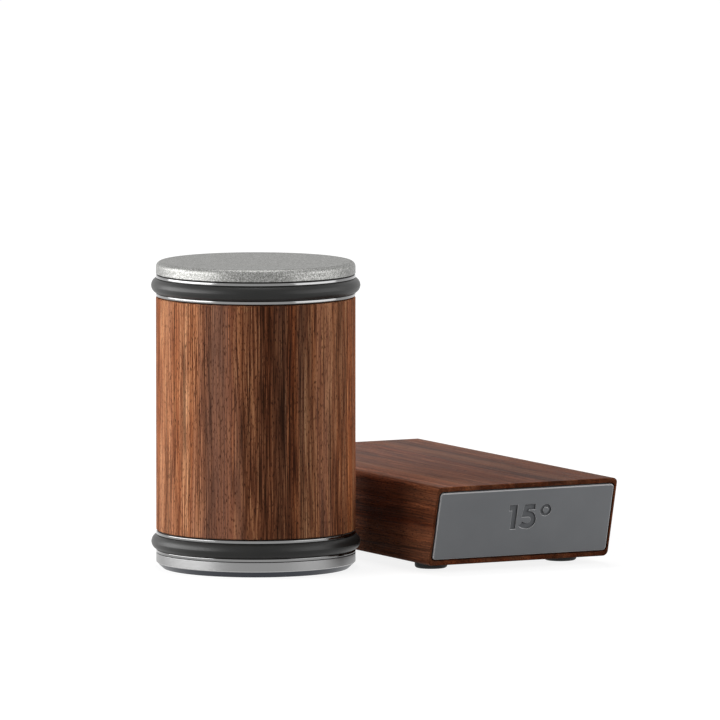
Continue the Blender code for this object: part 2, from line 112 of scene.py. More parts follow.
def turned(name, outline, steps):
    """Lathe work: a circle that is extruded and resized from each point of radius and height to the next.

    An outline that starts on the axis makes a solid with flat ends; any other closes into a ring.
    """
    leave_edit_mode()
    solid = outline[0][0] == 0
    points = outline[1:-1] if solid else outline + outline[:1]
    radius, height = points[0]
    bpy.ops.mesh.primitive_circle_add(vertices=steps, radius=radius, location=(0, 0, height),
                                      fill_type="NGON" if solid else "NOTHING")
    piece = bpy.context.object
    piece.name = name
    piece.data.name = name
    bpy.ops.object.transform_apply(location=True, rotation=True, scale=True)
    bpy.context.tool_settings.mesh_select_mode = (False, True, False)
    bpy.ops.object.mode_set(mode="EDIT")
    bpy.ops.mesh.select_all(action="SELECT")
    for next_radius, next_height in points[1:]:
        bpy.ops.mesh.extrude_edges_move(TRANSFORM_OT_translate={"value": (0, 0, next_height - height)})
        grow = next_radius / radius
        bpy.ops.transform.resize(value=(grow, grow, 1), center_override=(0, 0, 0))
        radius, height = next_radius, next_height
    if solid:
        bpy.ops.mesh.edge_face_add()
    merge_points()
    bpy.ops.mesh.normals_make_consistent(inside=False)
    leave_edit_mode()
    return piece


def shade(piece, material):
    """Shade a piece smooth across its shallow edges, keep its flat faces flat, and give it its finish."""
    take_up(piece)
    bpy.ops.object.shade_smooth_by_angle(angle=smooth_angle)
    flatten = piece.modifiers.new("flatten", "WEIGHTED_NORMAL")
    flatten.keep_sharp = True
    bpy.ops.object.modifier_apply(modifier=flatten.name)
    piece.data.materials.clear()
    piece.data.materials.append(material)


def linear(code):
    """Turn a six-digit sRGB colour into linear red, green and blue, with an alpha of one."""
    shades = [int(code[place:place + 2], 16) / 255 for place in (0, 2, 4)]
    return (*[s / 12.92 if s <= 0.04045 else ((s + 0.055) / 1.055) ** 2.4 for s in shades], 1)


def new_finish(name, **sockets):
    """A material whose shader has these constant settings."""
    material = bpy.data.materials.new(name)
    material.use_nodes = True
    for socket, value in sockets.items():
        shader_of(material).inputs[socket.replace("_", " ")].default_value = value
    return material


def shader_of(material):
    """The material's shader node."""
    return material.node_tree.nodes["Principled BSDF"]


def add(material, kind, inputs, stops=(), **settings):
    """Add a node with its settings; its inputs are values, or other nodes' outputs, which are linked."""
    node = material.node_tree.nodes.new(kind)
    for setting, value in settings.items():
        setattr(node, setting, value)
    for number, (position, code) in enumerate(stops):
        slots = node.color_ramp.elements
        slot = slots[number] if number < len(slots) else slots.new(position)
        slot.position = position
        slot.color = linear(code)
    for socket, value in inputs.items():
        if isinstance(value, bpy.types.NodeSocket):
            material.node_tree.links.new(value, node.inputs[socket])
        else:
            node.inputs[socket].default_value = value
    return node


def join(material, output, socket):
    """Lead a node's output into one of the shader's sockets."""
    material.node_tree.links.new(output, shader_of(material).inputs[socket])


def oiled_walnut(name, turn, place, tones, cool, warm, pale, **sheen):
    """Oiled walnut, whose open pores and dark growth lines run along the grain.

    Turn lays the grain on the texture's Z and place moves the cut through the log, in millimetres.  Bands
    are some 8 mm wide, streaks 1.1 mm and fibres 0.3 mm, and a pore is a dash of 0.23 by 1.3 mm.  Fibres
    and pores are drawn a little coarser than the real ones so that they show.
    """
    line_brown = "24110A"
    pore_brown = "2A140B"
    wood = new_finish(name, IOR=1.5, Specular_IOR_Level=0.08, **sheen)

    def grain(spot, stretch, frequency, detail, roughness=0.5):
        """A pattern of that many cells a millimetre across the grain, drawn out along it by 1 / stretch."""
        drawn = add(wood, "ShaderNodeMapping", {"Vector": spot, "Scale": (1, 1, stretch)}).outputs["Vector"]
        return add(wood, "ShaderNodeTexNoise", {"Vector": drawn, "Scale": frequency, "Detail": detail,
                                                "Roughness": roughness}).outputs

    # Where a point lies in the log, in millimetres, swayed widely and then finely across the grain
    spot = add(wood, "ShaderNodeTexCoord", {}).outputs["Object"]
    spot = add(wood, "ShaderNodeMapping", {"Vector": spot, "Rotation": turn, "Location": place,
                                           "Scale": (1000, 1000, 1000)}).outputs["Vector"]
    for stretch, frequency, reach in ((0.3, 0.05, 1.5), (0.1, 0.35, 0.15)):
        sway = grain(spot, stretch, frequency, 1)["Color"]
        sway = add(wood, "ShaderNodeVectorMath", {0: sway, 1: (0.5, 0.5, 0.5)},
                   operation="SUBTRACT").outputs[0]
        spot = add(wood, "ShaderNodeVectorMath", {0: sway, 1: (reach, reach, 0), 2: spot},
                   operation="MULTIPLY_ADD").outputs[0]

    # The figure adds bands, streaks and fibres up to one tone; its start centres the sum on the tones
    bands = grain(spot, 0.03, 0.13, 1)["Fac"]
    streaks = grain(spot, 0.012, 0.9, 2, 0.6)["Fac"]
    fibres = grain(spot, 0.016, 3.4, 1, 0.8)["Fac"]
    figure = -1.15
    for part, share in ((bands, 1.2), (streaks, 0.5), (fibres, 1.6)):
        figure = add(wood, "ShaderNodeMath", {0: part, 1: share, 2: figure},
                     operation="MULTIPLY_ADD").outputs[0]
    tone = add(wood, "ShaderNodeValToRGB", {"Fac": figure}, stops=tones).outputs["Color"]

    # Over it lie cool, warm and pale patches, broken growth lines in two widths, and the pores
    layers = []
    patches = ((0, cool, "MULTIPLY", 0.8), (37, warm, "MULTIPLY", 0.9), (71, pale, "MIX", 0.4))
    for offset, code, way, share in patches:
        shifted = add(wood, "ShaderNodeMapping", {"Vector": spot, "Location": (offset, offset, 0)})
        cloud = grain(shifted.outputs["Vector"], 0.03, 0.16, 3)["Fac"]
        patch = add(wood, "ShaderNodeMapRange", {"Value": cloud, "From Min": 0.5, "From Max": 0.66,
                                                 "To Max": share})
        layers.append((patch.outputs[0], code, way))
    for frequency, width, share in ((0.45, 0.026, 0.75), (1.3, 0.035, 0.65)):
        ridge = grain(spot, 0.01, frequency, 1)["Fac"]
        ridge = add(wood, "ShaderNodeMath", {0: ridge, 1: 0.5}, operation="SUBTRACT").outputs[0]
        ridge = add(wood, "ShaderNodeMath", {0: ridge}, operation="ABSOLUTE").outputs[0]
        line = add(wood, "ShaderNodeMapRange", {"Value": ridge, "From Max": width, "To Min": share,
                                                "To Max": 0})
        lengths = grain(spot, 0.04, 0.9, 1)["Fac"]
        lengths = add(wood, "ShaderNodeMapRange", {"Value": lengths, "From Min": 0.4, "From Max": 0.55})
        broken = add(wood, "ShaderNodeMath", {0: line.outputs[0], 1: lengths.outputs[0]},
                     operation="MULTIPLY")
        layers.append((broken.outputs[0], line_brown, "MIX"))
    pores = grain(spot, 0.18, 4.4, 1, 0.4)["Fac"]
    pores = add(wood, "ShaderNodeMapRange", {"Value": pores, "From Min": 0.57, "From Max": 0.68}).outputs[0]
    depth = add(wood, "ShaderNodeMath", {0: pores, 1: 0.75}, operation="MULTIPLY").outputs[0]
    layers.append((depth, pore_brown, "MIX"))
    for share, code, way in layers:
        tone = add(wood, "ShaderNodeMix", {"Factor": share, 6: tone, 7: linear(code)}, data_type="RGBA",
                   blend_type=way).outputs[2]
    join(wood, tone, "Base Color")

    # The light streaks take a little more shine from the oil than the dark ones, and the pores are open
    shine = add(wood, "ShaderNodeMapRange", {"Value": streaks, "From Min": 0.2, "From Max": 0.8,
                                             "To Min": 0.9, "To Max": 0.65})
    join(wood, shine.outputs[0], "Roughness")
    relief = add(wood, "ShaderNodeMath", {0: pores, 1: -0.8, 2: fibres}, operation="MULTIPLY_ADD").outputs[0]
    bump = add(wood, "ShaderNodeBump", {"Height": relief, "Strength": 0.4, "Distance": 0.12 * mm})
    join(wood, bump.outputs["Normal"], "Normal")
    return wood


# The oil leaves the barrel's red-brown streaks nearly matt and deepens the lines between them
barrel_walnut = oiled_walnut(
    "oiled_walnut_barrel", (0, 0, 0), (46, 48, 112),
    ((0.1, "402414"), (0.32, "6A3E28"), (0.5, "90593D"), (0.68, "B47852"), (0.9, "D79C72")),
    "B4BAC4", "FFDFC0", "A87C68")


def barrel_end(outward):
    """Half of the barrel's outline, from its bore to its middle, for the end that faces that way."""
    middle = (barrel_low.z + barrel_high.z) / 2
    half = (barrel_high.z - barrel_low.z) / 2
    rounding = arc(roller_radius - barrel_end_round, half - barrel_end_round, barrel_end_round, pi / 2, 0,
                   end_round_steps)
    steps = [
        (barrel_bore, half - carrier_depth - gap),
        (carrier_radius + gap, half - carrier_depth - gap),
        (carrier_radius + gap, half - flange_thickness - gap),
        (flange_radius + gap, half - flange_thickness - gap),
        (flange_radius + gap, half),
    ]
    return [(radius, middle + outward * height) for radius, height in steps + rounding]


barrel = turned("turned_barrel", barrel_end(1) + barrel_end(-1)[::-1], fine_steps)
shade(barrel, barrel_walnut)
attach(barrel, "grip")
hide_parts("wood_barrel")


# Bearing carriers: a turned aluminium cup in each end of the barrel, held by three countersunk wood screws
# and closed by a circlip, which keeps the bearing in.  All of them are the CAD's own solids, dressed.
ends = {"upper": (barrel_high.z, 1), "lower": (barrel_low.z, -1)}


def turning_lines(material, spacing, strength, depth):
    """Fine rings left by the lathe: a bump that varies with radius and height but not round the axis."""
    spot = add(material, "ShaderNodeTexCoord", {}).outputs["Object"]
    parts = add(material, "ShaderNodeSeparateXYZ", {"Vector": spot})
    flat = add(material, "ShaderNodeCombineXYZ", {"X": parts.outputs["X"], "Y": parts.outputs["Y"]})
    reach = add(material, "ShaderNodeVectorMath", {0: flat.outputs[0]}, operation="LENGTH").outputs["Value"]
    rings = add(material, "ShaderNodeCombineXYZ", {"X": reach, "Z": parts.outputs["Z"]}).outputs[0]
    lathe = add(material, "ShaderNodeTexNoise", {"Vector": rings, "Scale": 1 / spacing, "Detail": 3,
                                                 "Roughness": 0.65}).outputs["Fac"]
    bump = add(material, "ShaderNodeBump", {"Height": lathe, "Strength": strength, "Distance": depth})
    join(material, bump.outputs["Normal"], "Normal")
    return lathe


def flecked(material, low_code, high_code, haze, skin, strength, depth):
    """Faint clouds of tone between two colours, and a fine skin in relief; haze and skin are grain sizes."""
    spot = add(material, "ShaderNodeTexCoord", {}).outputs["Object"]
    clouds = add(material, "ShaderNodeTexNoise", {"Vector": spot, "Scale": 1 / haze, "Detail": 4})
    tone = add(material, "ShaderNodeValToRGB", {"Fac": clouds.outputs["Fac"]},
               stops=((0.3, low_code), (0.7, high_code)))
    join(material, tone.outputs["Color"], "Base Color")
    grains = add(material, "ShaderNodeTexNoise", {"Vector": spot, "Scale": 1 / skin, "Detail": 3})
    bump = add(material, "ShaderNodeBump", {"Height": grains.outputs["Fac"], "Strength": strength,
                                            "Distance": depth})
    join(material, bump.outputs["Normal"], "Normal")


def dress(material, *nodes):
    """Give CAD solids that are carried over this finish."""
    for node in nodes:
        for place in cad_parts[node].material_slots:
            place.material = material


# Turned aluminium shows the rings of the lathe, zinc plate a faint cloudy shine, and spring steel an oiled
# dark skin
turned_aluminium = new_finish("turned_aluminium", Base_Color=linear("B4B5B7"), Metallic=1, Roughness=0.35)
turning_lines(turned_aluminium, 0.3 * mm, 0.5, 0.02 * mm)
zinc_plate = new_finish("zinc_plated_steel", Metallic=1, Roughness=0.3)
flecked(zinc_plate, "A9ADB0", "C4C7C9", 1.5 * mm, 0.3 * mm, 0.2, 0.02 * mm)
spring_steel = new_finish("oiled_spring_steel", Metallic=1, Roughness=0.4)
flecked(spring_steel, "343537", "424346", 2 * mm, 0.3 * mm, 0.3, 0.02 * mm)
for end in ends:
    dress(turned_aluminium, f"{end}_bearing_carrier")
    dress(zinc_plate, *[f"{end}_carrier_screw_{number}" for number in (1, 2, 3)])
    dress(spring_steel, f"{end}_circlip")


# Bearings: a shielded deep-groove ball bearing in each carrier, of hardened ground steel with seven balls in
# a moulded nylon cage.  They are hidden, and are the CAD's own solids, dressed.  Ground steel is bright with
# very fine lines, the lapped balls are mirrors, and the nylon is a dull dark brown.
ground_bearing_steel = new_finish("ground_bearing_steel", Base_Color=linear("C4C5C6"), Metallic=1,
                                  Roughness=0.16)
turning_lines(ground_bearing_steel, 0.12 * mm, 0.25, 0.005 * mm)
ball_steel = new_finish("lapped_ball_steel", Metallic=1, Roughness=0.08)
flecked(ball_steel, "C0C1C2", "C8C9CA", 1 * mm, 0.2 * mm, 0.03, 0.002 * mm)
moulded_nylon = new_finish("moulded_nylon", Roughness=0.5, IOR=1.53)
flecked(moulded_nylon, "28251F", "34302B", 2 * mm, 0.25 * mm, 0.2, 0.02 * mm)
for end in ends:
    dress(ground_bearing_steel, f"{end}_bearing_outer_ring", f"{end}_bearing_inner_ring",
          f"{end}_bearing_shield")
    dress(moulded_nylon, f"{end}_bearing_cage")
    dress(ball_steel, *[f"{end}_bearing_ball_{number}" for number in range(1, 8)])


# Axle: a ground steel shaft through both bearings, with chamfered ends and a tapped hole in each for a
# disc's stud.  A turned aluminium tube spaces the bearings' inner rings.  The tapped thread is drawn as
# rings, which look the same in the hole's mouth.
axle_low, axle_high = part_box("axle")
axle_radius = axle_high.x
axle_chamfer = 0.4 * mm
inner_steps = 72
thread_pitch = 0.8 * mm
tapped_root = 2.8 * mm
tapped_crest = 2.56 * mm
tapped_mouth = 3.05 * mm
tapped_depth = 8.3 * mm
# Ground steel has a soft grey shine with fine lines round the shaft
ground_steel = new_finish("ground_axle_steel", Base_Color=linear("A4A6A8"), Metallic=1, Roughness=0.25)
turning_lines(ground_steel, 0.15 * mm, 0.35, 0.01 * mm)


def tapped_end(half):
    """Outline of one end of the axle, half its length from its middle: tapped hole, mouth and chamfer."""
    outline = [(0, half - tapped_depth), (tapped_crest, half - tapped_depth)]
    crest = half - tapped_depth + thread_pitch
    while crest < half - thread_pitch:
        outline += [(tapped_root, crest - thread_pitch / 2), (tapped_crest, crest)]
        crest += thread_pitch
    outline += [(tapped_crest, half - tapped_mouth + tapped_crest), (tapped_mouth, half)]
    return outline + [(axle_radius - axle_chamfer, half), (axle_radius, half - axle_chamfer)]


axle_middle = (axle_low.z + axle_high.z) / 2
axle_half = (axle_high.z - axle_low.z) / 2
upper_half = [(radius, axle_middle + height) for radius, height in tapped_end(axle_half)]
lower_half = [(radius, axle_middle - height) for radius, height in tapped_end(axle_half)]
axle = turned("ground_axle", lower_half + upper_half[::-1], inner_steps)
shade(axle, ground_steel)
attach(axle, "rotor")
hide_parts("axle")
dress(turned_aluminium, "spacer_tube")


# Hubs: one on each end of the axle, turned from aluminium and polished, with a round groove for the tyre, a
# recess for the nut and a boss that presses on the bearing.  Only their bright lips show beside the tyre.
hub_low, hub_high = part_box("upper_hub")
tyre_low, tyre_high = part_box("upper_tyre")
hub_inner = gap
hub_outer = hub_high.z - barrel_high.z
hub_middle = (hub_inner + hub_outer) / 2
boss_end = hub_low.z - barrel_high.z
tyre_radius = (tyre_high.z - tyre_low.z) / 2
tyre_circle = tyre_high.x - tyre_radius
groove_play = 0.1 * mm
hub_lip_round = 0.25 * mm
groove_ease = 0.18 * mm
sleeve_bore = 4.3 * mm
sleeve_radius = 5.75 * mm
nut_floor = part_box("upper_hub_nut")[0].z - barrel_high.z
nut_recess = 9.5 * mm
# A face counts as square to the axis down to this cosine of its lean
square_on = 0.99


def at_end(end, outline):
    """An outline whose heights are counted outwards from the barrel's end face."""
    face, outward = ends[end]
    return [(radius, face + outward * height) for radius, height in outline]


def eased(before, corner, after, steps):
    """Points of a soft corner, which leaves one line at before and meets the next at after."""
    shares = [step / steps for step in range(steps + 1)]
    return [tuple((1 - share) ** 2 * a + 2 * share * (1 - share) * b + share ** 2 * c
                  for a, b, c in zip(before, corner, after)) for share in shares]


def pick_finish(piece, material, wanted):
    """Give those faces whose centre passes the test a finish of their own."""
    piece.data.materials.append(material)
    slot = len(piece.data.materials) - 1
    for face in piece.data.polygons:
        if wanted(face):
            face.material_index = slot


# Polished aluminium mirrors its surroundings, a little drawn out by the last pass of the lathe; the ends
# are only faced, which leaves them matt
polished_aluminium = new_finish("polished_aluminium", Base_Color=linear("848484"), Metallic=1,
                                Roughness=0.13)
turning_lines(polished_aluminium, 0.25 * mm, 0.25, 0.01 * mm)
faced_aluminium = new_finish("faced_aluminium", Base_Color=linear("848484"), Metallic=1, Roughness=0.6)
turning_lines(faced_aluminium, 0.3 * mm, 0.4, 0.01 * mm)

for end in ends:
    groove = tyre_radius + groove_play
    lip = asin((roller_radius - tyre_circle) / groove)
    edge = hub_lip_round
    outline = [(sleeve_bore, boss_end), (sleeve_radius, boss_end), (sleeve_radius, hub_inner)]
    outline += arc(roller_radius - edge, hub_inner + edge, edge, -pi / 2, 0, 4)
    ease = groove_ease / groove
    lip_height = groove * cos(lip)
    hollow = arc(tyre_circle, hub_middle, groove, -pi / 2 + lip - ease, -3 * pi / 2 - lip + ease, 28)
    outline += eased((roller_radius, hub_middle - lip_height - groove_ease),
                     (roller_radius, hub_middle - lip_height), hollow[0], 4) + hollow[1:-1]
    outline += eased(hollow[-1], (roller_radius, hub_middle + lip_height),
                     (roller_radius, hub_middle + lip_height + groove_ease), 4)
    outline += arc(roller_radius - edge, hub_outer - edge, edge, 0, pi / 2, 4)
    outline += [(nut_recess + edge, hub_outer), (nut_recess, hub_outer - edge)]
    outline += [(nut_recess, nut_floor - gap), (sleeve_bore, nut_floor - gap)]
    hub = turned(f"{end}_polished_hub", at_end(end, outline), fine_steps)
    shade(hub, polished_aluminium)
    pick_finish(hub, faced_aluminium, lambda face: abs(face.normal.z) > square_on)
    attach(hub, "rotor")
    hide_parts(f"{end}_hub")


# Hub nuts: thin zinc-plated hexagon nuts that clamp the hubs and the bearings' inner rings on the axle.
# Their corners are chamfered on both sides, and each sits in its hub's recess.  Each starts as a turned
# ring, whose rim is pressed in to the six flats and down to the chamfers.
nut_flats = 13 * mm
nut_bore = 4.06 * mm
nut_countersink = 0.45 * mm
nut_face = 6.3 * mm
nut_corner = nut_flats / sqrt(3)
nut_corner_chamfer = 0.75 * mm
nut_chamfer_slope = nut_corner_chamfer / (nut_corner + nut_countersink - nut_face)

for end in ends:
    low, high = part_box(f"{end}_hub_nut")
    mouth = nut_bore + nut_countersink
    outline = [(mouth, low.z), (nut_face, low.z), (nut_corner, low.z), (nut_corner, high.z),
               (nut_face, high.z), (mouth, high.z), (nut_bore, high.z - nut_countersink),
               (nut_bore, low.z + nut_countersink)]
    nut = turned(f"{end}_zinc_nut", outline, inner_steps)
    for point in nut.data.vertices:
        x, y, z = point.co
        reach = hypot(x, y)
        if reach > (nut_face + nut_corner) / 2:
            flat = nut_flats / 2 / cos(atan2(y, x) % (pi / 3) - pi / 6)
            fall = (flat - nut_face) * nut_chamfer_slope
            height = low.z + fall if z < (low.z + high.z) / 2 else high.z - fall
            point.co = (x * flat / reach, y * flat / reach, height)
    shade(nut, zinc_plate)
    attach(nut, "rotor")
    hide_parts(f"{end}_hub_nut")


# Tyres: moulded rubber rings of round section, stretched into the hubs' grooves.  The roller rolls on them.
# A faint flash line runs round the middle of each.
flash_height = 0.03 * mm
flash_angle = radians(3)
# Moulded rubber is nearly black, with a broad soft highlight along the ring
tyre_rubber = new_finish("moulded_rubber", Roughness=0.42, IOR=1.52, Specular_IOR_Level=0.28)
flecked(tyre_rubber, "1A1A19", "222221", 8 * mm, 0.4 * mm, 0.2, 0.03 * mm)

for end in ends:
    outline = arc(tyre_circle, hub_middle, tyre_radius, flash_angle, 2 * pi - flash_angle, 40)
    outline += [(tyre_circle + tyre_radius + flash_height, hub_middle)]
    tyre = turned(f"{end}_rubber_tyre", at_end(end, outline), fine_steps)
    shade(tyre, tyre_rubber)
    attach(tyre, "rotor")
    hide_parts(f"{end}_tyre")


# Diamond disc: a steel disc that screws on at the top.  Its face and round shoulder are plated with fine
# diamond grit, which gives a dull grey sparkle.
disc_low, disc_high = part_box("diamond_disc")
stud_hole = 2.8 * mm
stud_hole_depth = 1.8 * mm
disc_back_round = 0.12 * mm
shoulder = 1.5 * mm
# The dressed face runs over the shoulder's first 25 degrees, down to this cosine of its lean
dressed_lean = 0.9


def grit_plating(name, roughness, strength, tones):
    """Nickel plate that holds diamond grit: fine crystals of mixed tone, in relief by that strength.

    A crystal is drawn 0.36 mm wide, coarser than real grit, so that it shows.
    """
    plating = new_finish(name, Metallic=1, Roughness=roughness)
    spot = add(plating, "ShaderNodeTexCoord", {}).outputs["Object"]
    grit = add(plating, "ShaderNodeTexNoise", {"Vector": spot, "Scale": 2.8 / mm, "Detail": 2,
                                               "Roughness": 0.7}).outputs["Fac"]
    tone = add(plating, "ShaderNodeValToRGB", {"Fac": grit}, stops=list(zip((0.34, 0.5, 0.66), tones)))
    join(plating, tone.outputs["Color"], "Base Color")
    bump = add(plating, "ShaderNodeBump", {"Height": grit, "Strength": strength, "Distance": 0.05 * mm})
    join(plating, bump.outputs["Normal"], "Normal")
    return plating


# The flat face is dressed smoother than the shoulder, whose grit sparkles
grit_face = grit_plating("dressed_diamond_grit", 0.75, 0.25, ("636361", "7C7C7A", "949492"))
grit_shoulder = grit_plating("diamond_grit_plating", 0.47, 0.35, ("5E5E5D", "82827F", "ABABA9"))
hole_floor = disc_low.z + stud_hole_depth
outline = [(0, hole_floor), (stud_hole, hole_floor), (stud_hole, disc_low.z)]
outline += arc(roller_radius - disc_back_round, disc_low.z + disc_back_round, disc_back_round, -pi / 2, 0, 4)
outline += arc(roller_radius - shoulder, disc_high.z - shoulder, shoulder, 0, pi / 2, 14)
outline += [(0, disc_high.z)]
diamond_disc = turned("gritted_diamond_disc", outline, fine_steps)
shade(diamond_disc, grit_shoulder)
pick_finish(diamond_disc, grit_face, lambda face: face.normal.z > dressed_lean)
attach(diamond_disc, "diamond_disc")
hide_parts("diamond_disc")


# Honing disc: a hardened steel disc that screws on at the bottom, satin turned on its side, with a chamfer
# towards its face.  The roller stands on the face, which has fine concentric honing grooves.
honing_low, honing_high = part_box("honing_disc")
honing_chamfer_width = 1.9 * mm
honing_chamfer_height = 1.6 * mm
honing_edge = 0.2 * mm
honing_groove_depth = 0.12 * mm
honing_groove_pitch = 0.9 * mm
honing_face_outer = 25 * mm
honing_face_inner = 8 * mm
# The solid stops 0.3 mm short of the hub; the real disc leaves only a fine seam
honing_top = honing_high.z + 0.2 * mm
# The chamfer's faces have cosines of lean between these
chamfer_steepest = 0.2
chamfer_flattest = 0.95

# The chamfer's steel is coloured dark, as painted shade; the side is satin, the back faced and matt, and the
# edge between side and chamfer is coloured light, as a painted highlight
# Painted shade: the chamfer's steel is given a dark colour
chamfer_steel_painted_shade = new_finish("chamfer_steel_painted_shade", Base_Color=linear("3A3C42"), Metallic=1, Roughness=0.35)
turning_lines(chamfer_steel_painted_shade, 0.3 * mm, 0.4, 0.02 * mm)
satin_steel = new_finish("satin_turned_steel", Base_Color=linear("8A8A8A"), Metallic=1, Roughness=0.34)
turning_lines(satin_steel, 0.3 * mm, 0.5, 0.02 * mm)
faced_steel = new_finish("faced_steel", Base_Color=linear("808080"), Metallic=1, Roughness=0.6)
turning_lines(faced_steel, 0.3 * mm, 0.4, 0.01 * mm)
# Painted highlight: the edge's steel is given a lighter colour than the side
edge_steel_painted_highlight = new_finish("steel_edge_painted_highlight", Base_Color=linear("B4B4B4"), Metallic=1, Roughness=0.25)
turning_lines(edge_steel_painted_highlight, 0.3 * mm, 0.3, 0.01 * mm)

hole_floor = honing_top - stud_hole_depth
outline = [(0, hole_floor), (stud_hole, hole_floor), (stud_hole, honing_top)]
outline += arc(roller_radius - disc_back_round, honing_top - disc_back_round, disc_back_round, pi / 2, 0, 4)
outline += [(roller_radius, honing_low.z + honing_chamfer_height + honing_edge)]
outline += [(roller_radius - honing_edge, honing_low.z + honing_chamfer_height)]
outline += [(roller_radius - honing_chamfer_width, honing_low.z)]
groove_count = int((honing_face_outer - honing_face_inner) / honing_groove_pitch)
for number in range(groove_count):
    crest = honing_face_outer - number * honing_groove_pitch
    outline += [(crest, honing_low.z), (crest - honing_groove_pitch / 4, honing_low.z + honing_groove_depth)]
    outline += [(crest - honing_groove_pitch / 2, honing_low.z)]
outline += [(0, honing_low.z)]
honing_disc = turned("satin_honing_disc", outline, fine_steps)
shade(honing_disc, satin_steel)
# The chamfer takes the painted shade, and the edge between side and chamfer the painted highlight
pick_finish(honing_disc, chamfer_steel_painted_shade, lambda face: chamfer_steepest < -face.normal.z < chamfer_flattest
            and hypot(face.center.x, face.center.y) > honing_face_outer)
pick_finish(honing_disc, faced_steel, lambda face: face.normal.z > square_on)
pick_finish(honing_disc, edge_steel_painted_highlight, lambda face: chamfer_steepest < -face.normal.z < chamfer_flattest
            and honing_low.z + honing_chamfer_height < face.center.z < honing_top - disc_back_round)
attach(honing_disc, "honing_disc")
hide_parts("honing_disc")


# Disc studs: short zinc-plated threaded studs, one fixed in each disc, which screw into the axle's ends.
# The thread is a true helix, wound too long, trimmed to length and chamfered at both ends.
stud_crest = 2.5 * mm
stud_root = 2.05 * mm
stud_chamfer = 0.6 * mm
steps_a_turn = 32
# Pitches by which the helix starts below the stud; the 0.013 keeps its points off the trimming planes
thread_lead = 2.013
spare_turns = 4
tooth_profile = ((stud_root, 0), (stud_crest, 0.4), (stud_crest, 0.52), (stud_root, 0.92), (stud_root, 1))
for disc in ("diamond_disc", "honing_disc"):
    low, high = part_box(f"{disc}_stud")
    curve = bpy.data.curves.new("tooth", "CURVE")
    curve.dimensions = "3D"
    tooth = curve.splines.new("POLY")
    tooth.points.add(len(tooth_profile) - 1)
    for point, (radius, rise) in zip(tooth.points, tooth_profile):
        point.co = (radius, 0, low.z + (rise - thread_lead) * thread_pitch, 1)
    stud = bpy.data.objects.new(f"{disc}_threaded_stud", curve)
    bpy.context.scene.collection.objects.link(stud)
    take_up(stud)
    bpy.ops.object.convert(target="MESH")
    wind = stud.modifiers.new("wind", "SCREW")
    wind.screw_offset = thread_pitch
    wind.iterations = int((high.z - low.z) / thread_pitch) + spare_turns
    wind.steps = wind.render_steps = steps_a_turn
    bpy.ops.object.modifier_apply(modifier=wind.name)
    bpy.ops.object.mode_set(mode="EDIT")
    merge_points()
    # A bisect left to its own threshold merges points up to 0.1 mm apart
    for height, outward in ((low.z, -1), (high.z, 1)):
        bpy.ops.mesh.select_all(action="SELECT")
        bpy.ops.mesh.bisect(plane_co=(0, 0, height), plane_no=(0, 0, outward), use_fill=True,
                            clear_outer=True, threshold=merge_reach / 10)
    merge_points()
    bpy.ops.mesh.normals_make_consistent(inside=False)
    leave_edit_mode()
    for point in stud.data.vertices:
        x, y, z = point.co
        limit = stud_crest - stud_chamfer + min(z - low.z, high.z - z)
        shrink = min(1, limit / hypot(x, y))
        point.co = (x * shrink, y * shrink, z)
    shade(stud, zinc_plate)
    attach(stud, disc)
    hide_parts(f"{disc}_stud")


# Guide block: a solid walnut block, grain along its length, with rounded long edges.  Its two ends are sawn
# to the grinding angles and milled with a shallow recess for the blade pad and pockets for the magnets.
block_low, block_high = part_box("guide_block")
# The photograph shows the block's underside this much lower than the solid's
block_drop = 0.6 * mm
block_low.z -= block_drop
block_width = block_high.x - block_low.x
block_middle = (block_low.x + block_high.x) / 2
block_height = block_high.z - block_low.z
front_lean = radians(15)
rear_lean = radians(20)
block_front = -43.6 * mm
block_rear = block_front + 118.5 * mm
long_edge_round = 1.5 * mm
end_rim_round = 0.35 * mm
pad_side_margin = 1.1 * mm
pad_top_margin = 1.8 * mm
pad_bottom_margin = 1.8 * mm
pad_recess = 1.8 * mm
pad_gap = 0.45 * mm
pad_corner = 1.0 * mm
magnet_radius = 6 * mm
magnet_thickness = 5 * mm
magnet_spacing = 16.5 * mm
corner_steps = 8
# A point counts as near a corner within the first of these, and as on a face within the second
near = 1 * mm
hair = 0.01 * mm
# Cutters stand out of the face that they enter by this
overrun = 1 * mm


def pick_edges(piece, wanted):
    """Enter edit mode with only those edges selected whose two end points pass the test."""
    take_up(piece)
    mesh = piece.data
    for group in (mesh.vertices, mesh.edges, mesh.polygons):
        group.foreach_set("select", [False] * len(group))
    for edge in mesh.edges:
        first, last = (mesh.vertices[number].co for number in edge.vertices)
        edge.select = wanted(first, last)
    bpy.context.tool_settings.mesh_select_mode = (False, True, False)
    bpy.ops.object.mode_set(mode="EDIT")


def add_block(name, size, place):
    """A cuboid of that size about that place, as the start of a piece."""
    leave_edit_mode()
    bpy.ops.mesh.primitive_cube_add(size=1, location=place, scale=size)
    piece = bpy.context.object
    piece.name = name
    piece.data.name = name
    bpy.ops.object.transform_apply(location=True, rotation=True, scale=True)
    return piece


def settle(piece, place, turn=(0, 0, 0)):
    """Put a piece in its place and write the place into its mesh."""
    take_up(piece)
    piece.location = place
    piece.rotation_euler = turn
    bpy.ops.object.transform_apply(location=True, rotation=True, scale=True)
    return piece


def rounded_plate(name, width, height, bottom, top, corner):
    """A plate that lies on X and Y with round corners, between two heights."""
    piece = add_block(name, (width, height, top - bottom), (0, 0, (top + bottom) / 2))
    pick_edges(piece, lambda first, last: abs(first.z - last.z) > (top - bottom) / 2)
    bpy.ops.mesh.bevel(offset=corner, segments=corner_steps, profile=0.5, affect="EDGES")
    leave_edit_mode()
    return piece


